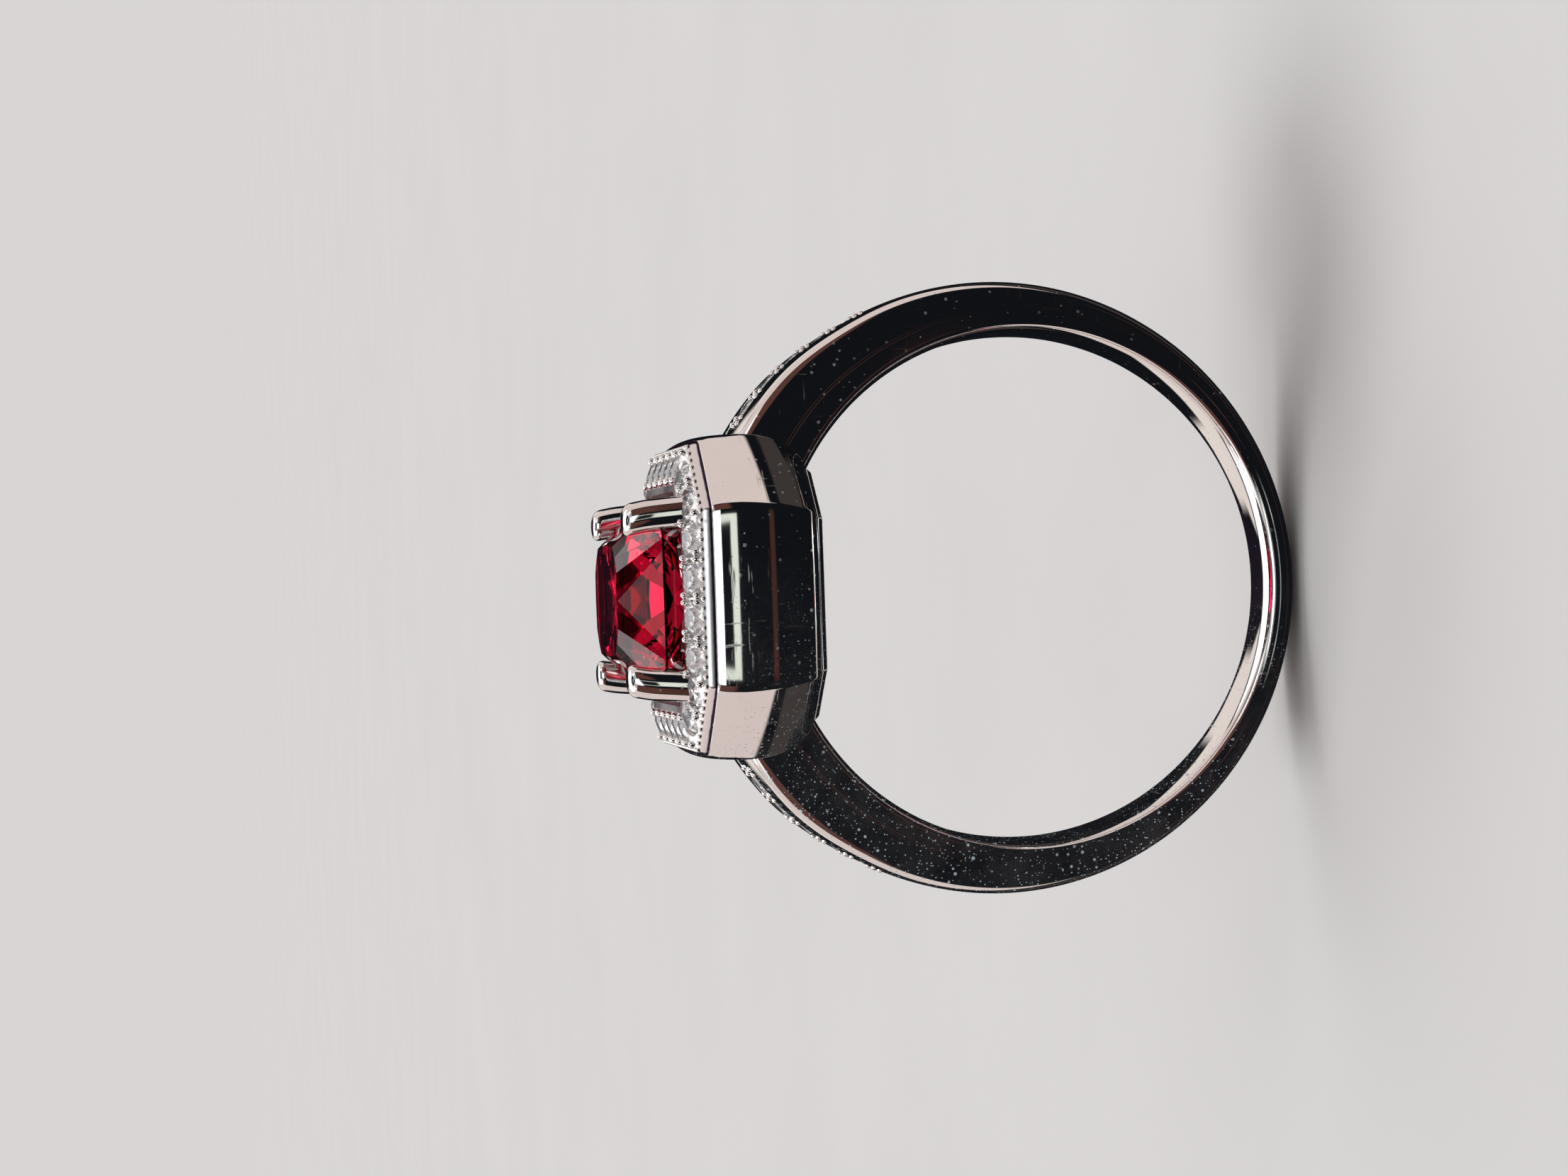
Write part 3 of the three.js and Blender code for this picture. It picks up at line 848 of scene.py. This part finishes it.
shoulderCentres, shoulderFacings, shoulderSizes = shoulderPlaces()
band = sinkSeats(bandGrid(), shoulderCentres, shoulderFacings, shoulderSizes, shoulderValues["seat"])
settle(cappedTube("band", band, 34), ["shank"], plainSilver)
for node in nodesNamed("shoulder_stone"):
    near = nearestPlace(node, shoulderCentres)
    side = "Right" if "right" in node else "Left"
    addStone("shoulderStone" + side + node[-1], node,
             shoulderCentres[near], shoulderFacings[near], shoulderSizes[near])
print("band made")

# Beads that hold the small stones.

beadValues = {
    "rings": 6, "sides": 10,
    "radius": 0.13, "spread": 0.12, "rise": 0.03, "haloOffset": 0.43,
    "footInset": 0.42, "footPitch": 0.3, "footRadius": 0.1, "footSink": 0.02,
    "shoulderRadius": 0.12, "shoulderReach": 0.92, "shoulderSink": 0.03, "crownRadius": 11.0,
}


# Small round grains of a radius, one at each centre: rows of latitude closed by a point at each pole.
def addBeads(name, centres, radius):
    rings, sides = beadValues["rings"], beadValues["sides"]
    tilt = np.linspace(0, math.pi, rings + 1)[1:-1]
    turn = circleTurns(sides)
    body = np.stack([np.sin(tilt)[:, None] * np.cos(turn), np.sin(tilt)[:, None] * np.sin(turn),
                     np.cos(tilt)[:, None] * np.ones(sides)], -1).reshape(-1, 3)
    one = np.concatenate([body, [[0, 0, 1], [0, 0, -1]]])
    rows = gridFaces(rings - 1, sides, False, True)
    k = np.arange(sides)
    m = (k + 1) % sides
    last = (rings - 2) * sides
    poles = np.concatenate([np.stack([m, k, np.full(sides, len(body))], 1),
                            np.stack([last + k, last + m, np.full(sides, len(body) + 1)], 1)])
    points = centres[:, None, :] + radius * one[None]
    shift = (np.arange(len(centres)) * len(one))[:, None, None]
    faces = [(rows[None] + shift).reshape(-1, 4), (poles[None] + shift).reshape(-1, 3)]
    settle(meshObject(name, points, faces, 60), [], settingSilver)


# Two beads at each join between neighbouring stones, outside and inside the row, on the dome's surface.
def haloBeadPlaces():
    v, b = haloValues, beadValues
    spots = []
    for offset in (-b["haloOffset"], b["haloOffset"]):
        inset = v["rowInset"] + offset
        for count, (start, end) in zip(v["counts"], headSides(inset)):
            along = np.arange(1, count) / count
            apart = b["spread"] / np.linalg.norm(end - start)
            shares = np.sort(np.concatenate([along - apart, along + apart, [0.0]]))[:, None]
            spots.append(onSide(start, end, shares, domeHeight(inset) + b["rise"]))
    return np.concatenate(spots)


addBeads("haloBeads", haloBeadPlaces(), beadValues["radius"])


# A row of small grains round the foot of the dome, evenly spaced along each side.
def footBeadPlaces():
    inset, pitch = beadValues["footInset"], beadValues["footPitch"]
    spots = []
    for start, end in headSides(inset):
        shares = np.linspace(0, 1, int(np.linalg.norm(end - start) / pitch) + 1)[:-1, None]
        spots.append(onSide(start, end, shares, domeHeight(inset) - beadValues["footSink"]))
    return np.concatenate(spots)


addBeads("footBeads", footBeadPlaces(), beadValues["footRadius"])


# Two beads at each join along the shoulder rows, on both sides of the channel floor.
def shoulderBeadPlaces():
    v = shoulderValues
    step = (v["last"] - v["first"]) / (v["count"] - 1)
    joins = v["first"] + step * (np.arange(v["count"] + 1) - 0.5)
    spread = math.degrees(beadValues["spread"] / beadValues["crownRadius"])
    one = np.radians(np.concatenate([joins - spread, joins + spread]))
    theta = np.concatenate([one, -one])
    reach = shoulderSize(np.degrees(np.abs(theta))) / 2 * beadValues["shoulderReach"]
    radius = crownRadius(theta) - bandValues["channelDepth"] - beadValues["shoulderSink"]
    one = np.stack([radius * np.sin(theta), reach, radius * np.cos(theta)], 1)
    return np.concatenate([one, one * [1, -1, 1]])


addBeads("shoulderBeads", shoulderBeadPlaces(), beadValues["shoulderRadius"])
print("beads made")

# Centre stone.

gemValues = {
    "girdleZ": 12.86, "girdle": 0.08,
    "table": (1.78, 2.6, 0.86, 14.22), "tableMiddle": 0.08,
    "rim": (2.97, 3.94, 1.0), "rimSwell": 0.05, "facetShare": 0.1,
    "belt": (2.2, 3.1, 0.75, 11.75),
    "lower": (1.2, 2.05, 0.5, 10.75),
    "keel": (0.55, 10.0),
}


# Points on a cut-corner plan at a height, one on each of its eight sides: at a share of the side from its start
# and moved outward. Share 0 gives the corners.
def gemRow(halfX, halfY, cornerCut, z, share=0.0, outward=0.0):
    corner = planCorners(sideReach(halfX, halfY, cornerCut))
    start = np.roll(corner, 1, 0)
    flat = start + (corner - start) * share + sideNormals * outward
    return np.concatenate([flat, np.full((8, 1), z)], 1)


# A cut-corner brilliant. Above the girdle each side has five triangles that meet at the middle of the table's
# edge: the widest stands on the girdle. Below it are triangles, kites and a lower tier down to a short keel.
def centreStone():
    v = gemValues
    half = v["girdle"] / 2
    high, low = v["girdleZ"] + half, v["girdleZ"] - half
    near, far = v["facetShare"], 1 - v["facetShare"]
    rows = [
        gemRow(*v["table"]),
        gemRow(*v["table"], 0.5, v["tableMiddle"]),
        gemRow(*v["rim"], high),
        gemRow(*v["rim"], high, near, v["rimSwell"]),
        gemRow(*v["rim"], high, far, v["rimSwell"]),
        gemRow(*v["rim"], low),
        gemRow(*v["rim"], low, near, v["rimSwell"]),
        gemRow(*v["rim"], low, far, v["rimSwell"]),
        gemRow(*v["belt"], 0.5),
        gemRow(*v["lower"]),
        np.array([[0, v["keel"][0], v["keel"][1]], [0, -v["keel"][0], v["keel"][1]]]),
    ]
    i = np.arange(8)
    j = (i + 1) % 8
    t, m, p, a, b, q, c, d, belt, lower, keel = (8 * k for k in range(11))
    end = np.where(rows[9][:, 1] > 0, keel, keel + 1)
    triangles = [
        facets(t + i, m + i, p + i),
        facets(p + i, m + i, a + i),
        facets(a + i, m + i, b + i),
        facets(b + i, m + i, p + j),
        facets(p + j, m + i, t + j),
        facets(q + i, c + i, belt + i),
        facets(c + i, d + i, belt + i),
        facets(d + i, q + j, belt + i),
        facets(q + j, lower + j, belt + i),
        facets(q + j, belt + j, lower + j),
        facets(belt + i, lower + j, lower + i),
        facets(lower + i, lower + j, end[i]),
    ]
    crossing = i[end[i] != end[j]]
    triangles.append(facets(lower + (crossing + 1) % 8, end[(crossing + 1) % 8], end[crossing]))
    quads = [
        facets(p + i, a + i, c + i, q + i),
        facets(a + i, b + i, d + i, c + i),
        facets(b + i, p + j, q + j, d + i),
    ]
    table = facets(t + i, m + i).reshape(1, 16)
    faces = [np.concatenate(triangles), np.concatenate(quads), table[:, ::-1]]
    return meshObject("centreStone", np.concatenate(rows), faces, 1)


settle(centreStone(), ["centre_stone"], rubyMaterial)
print("centre stone made")

# Claws and basket.

clawValues = {
    "x": 2.84, "y": 3.93, "radius": 0.53, "flare": 0.04, "footZ": 10.6, "tipZ": 14.16,
    "slant": 4.5,  # degrees in towards the stone
    "hook": 0.1, "hookHeight": 1.0, "tipRound": 0.34, "tipPower": 2.6, "squareness": 2.2, "sides": 40,
}


# A claw: a rounded-square wire carried up from the basket; it leans in over the stone's corner near the top and
# closes in a domed tip, whose radius falls as a superellipse.
def addClaw(name, node, signX, signY):
    v = clawValues
    z = np.concatenate([np.linspace(v["footZ"], v["tipZ"] - v["tipRound"], 26),
                        v["tipZ"] - v["tipRound"] * (1 - np.sin(np.linspace(0, math.pi / 2, 12)[1:-1]))])
    up = np.clip((z - (v["tipZ"] - v["tipRound"])) / v["tipRound"], 0, 1)
    radius = v["radius"] + v["flare"] * (v["tipZ"] - z) / (v["tipZ"] - v["footZ"])
    radius = radius * (1 - up ** v["tipPower"]) ** (1 / v["tipPower"])
    lean = v["hook"] * np.clip((z - v["tipZ"] + v["hookHeight"]) / v["hookHeight"], 0, 1) ** 2
    lean = lean + (z - ringSizes["rimZ"]) * math.tan(math.radians(v["slant"]))
    turn = circleTurns(v["sides"])
    power = 2 / v["squareness"]
    shape = np.stack([np.sign(np.cos(turn)) * np.abs(np.cos(turn)) ** power,
                      np.sign(np.sin(turn)) * np.abs(np.sin(turn)) ** power], 1)
    middle = np.stack([signX * (v["x"] - lean), signY * (v["y"] - lean)], 1)
    flat = middle[:, None, :] + radius[:, None, None] * shape[None]
    grid = np.concatenate([flat, np.broadcast_to(z[:, None, None], (*flat.shape[:2], 1))], -1)
    settle(cappedTube(name, grid, 50), [node], settingSilver)


for node in nodesNamed("claw"):
    low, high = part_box(node)
    middle = (low + high) / 2
    words = node.split("_")
    name = "claw" + words[1].title() + words[2].title()
    addClaw(name, node, math.copysign(1, middle.x), math.copysign(1, middle.y))

basketValues = {"width": 0.5, "round": 0.14, "cornerCut": 0.9, "planRound": 0.2}


# A rail of the basket: a rounded square section carried round a smaller cut-corner plan, inside its CAD node's box.
def addBasketRail(name, node):
    low, high = (np.array(corner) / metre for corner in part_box(node))
    r = basketValues["round"]
    a, b, bottom, top = 0.0, basketValues["width"], low[2], high[2]
    corners = [(a + r, bottom + r, 180), (b - r, bottom + r, 270), (b - r, top - r, 0), (a + r, top - r, 90)]
    outline = np.concatenate([bend((x, z), r, start, start + 90, 5) for x, z, start in corners])
    reach = sideReach(high[0], high[1], basketValues["cornerCut"])
    grid = sweepPlan(reach, outline, basketValues["planRound"], 6, 8)
    settle(ringObject(name, grid), [node], settingSilver)


addBasketRail("basketSeatRail", "basket_seat_rail")
addBasketRail("basketLowerRail", "basket_lower_rail")
print("claws and basket made")

# Floor, lamp and studio.

studio = {
    "floorZ": -9.86, "floorSize": 3000,
    "floor": (0.60, 0.603, 0.60), "floorShade": 0.95, "floorClouds": (40.0, 0.2, 0.8),
    "background": (0.687, 0.665, 0.658),
    "dark": (0.006, 0.007, 0.009),
    "sun": 1.3,
    "sunWidth": 24.0,
    "sunFrom": (-0.5, 0.1, 0.86),
    # soft panels seen in the metal: elevation from and to, azimuth from and to (0 in front, 90 to either side,
    # 180 behind), how soft the edges are in degrees, how much the panel leans with the azimuth, and its colour
    "panels": (
        ((40, 68), (50, 181), 4, 0, (1.5, 1.5, 1.53)),  # overhead, open in the middle
        ((76, 85), (-1, 30), 3, 0, (0.5, 0.5, 0.5)),
        ((62, 72), (140, 181), 3, 0, (3.0, 3.0, 3.0)),
        ((16.5, 54), (-1, 15), 1.5, 0, (1.6, 1.65, 1.75)),  # above the camera
        ((33, 66), (15, 50), 3, 0, (0.5, 0.5, 0.5)),
        ((-0.5, 2.6), (-1, 8.2), 0.6, 0, (0.84, 0.9, 0.8)),  # thin lamp below it
        ((-0.5, 16), (8.4, 9.6), 0.5, 0, (0.84, 0.9, 0.8)),
        ((4, 34), (22, 60), 3.5, 0, (0.11, 0.045, 0.036)),  # warm glow beside the camera
        ((-18, 64), (68, 128), 3, 0.5, (0.76, 0.65, 0.62)),  # warm sides
        ((-60, -31), (60, 130), 3, 0.5, (0.05, 0.042, 0.04)),
        ((-29, -26), (-1, 9), 2, 0, (0.06, 0.025, 0.021)),
        ((8, 32), (130, 168), 3, 0, (0.85, 0.77, 0.72)),  # low behind
        ((2, 34), (173, 181), 3, 0, (0.012, 0.008, 0.014)),
    ),
}


# A wide pale floor whose tone drifts a little, left out of the reflections.
def addFloor():
    size = studio["floorSize"]
    z = studio["floorZ"]
    points = np.array([[-size, -size, z], [size, -size, z], [size, size, z], [-size, size, z]], float)
    item = meshObject("floor", points, [np.array([[0, 1, 2, 3]])])
    material, tree, shader = newMaterial("paleFloor")
    scale, *limits = studio["floorClouds"]
    tone = ramp(tree, noise(tree, objectCoords(tree), scale), *limits)
    shade = tuple(c * studio["floorShade"] for c in studio["floor"])
    feed(shader["Base Color"], mixColour(tree, tone, studio["floor"], shade))
    feed(shader["Roughness"], 0.85)
    item.data.materials.append(material)
    item.visible_glossy = False


# A broad soft sun, so that the floor is evenly lit all the way out.
def addSun():
    data = bpy.data.lights.new("softSun", "SUN")
    data.energy, data.angle = studio["sun"], math.radians(studio["sunWidth"])
    item = addObject("softSun", data)
    item.rotation_mode = "QUATERNION"
    item.rotation_quaternion = Vector(studio["sunFrom"]).to_track_quat("Z", "Y")


# 1 where a value lies between two limits, falling to 0 over the softness outside them.
def between(tree, value, low, high, soft):
    rise = ramp(tree, value, low - soft, low)
    fall = ramp(tree, value, high + soft, high)
    rise.node.interpolation_type = fall.node.interpolation_type = "SMOOTHSTEP"
    return times(tree, rise, fall)


# The studio as the metal sees it: a dark room with soft panels laid out by elevation and azimuth. Seen directly
# it is a plain pale backdrop.
def addWorld():
    world = bpy.data.worlds.new("studio")
    bpy.context.scene.world = world
    world.use_nodes = True
    tree = world.node_tree
    x, y, z = axes(tree, place(tree, "TexCoord").outputs["Generated"])
    toDegrees = 180 / math.pi
    elevation = times(tree, maths(tree, "ARCSINE", z), toDegrees)
    sideways = maths(tree, "ABSOLUTE", x)
    azimuth = times(tree, maths(tree, "ARCTAN2", sideways, times(tree, y, -1.0)), toDegrees)
    total = studio["dark"]
    for (low, high), (near, far), soft, lean, colour in studio["panels"]:
        level = elevation
        if lean:
            level = maths(tree, "ADD", elevation, maths(tree, "MULTIPLY_ADD", azimuth, -lean, 90 * lean))
        mask = times(tree, between(tree, level, low, high, soft), between(tree, azimuth, near, far, soft))
        total = mixColour(tree, mask, total, colour)
    seen = mixColour(tree, place(tree, "LightPath").outputs["Is Camera Ray"], total, studio["background"])
    feed(tree.nodes["Background"].inputs["Color"], seen)


addWorld()
addFloor()
addSun()

view = bpy.context.scene.view_settings
view.view_transform = "Standard"
view.look = "None"
view.exposure = 0.0
print("studio made")
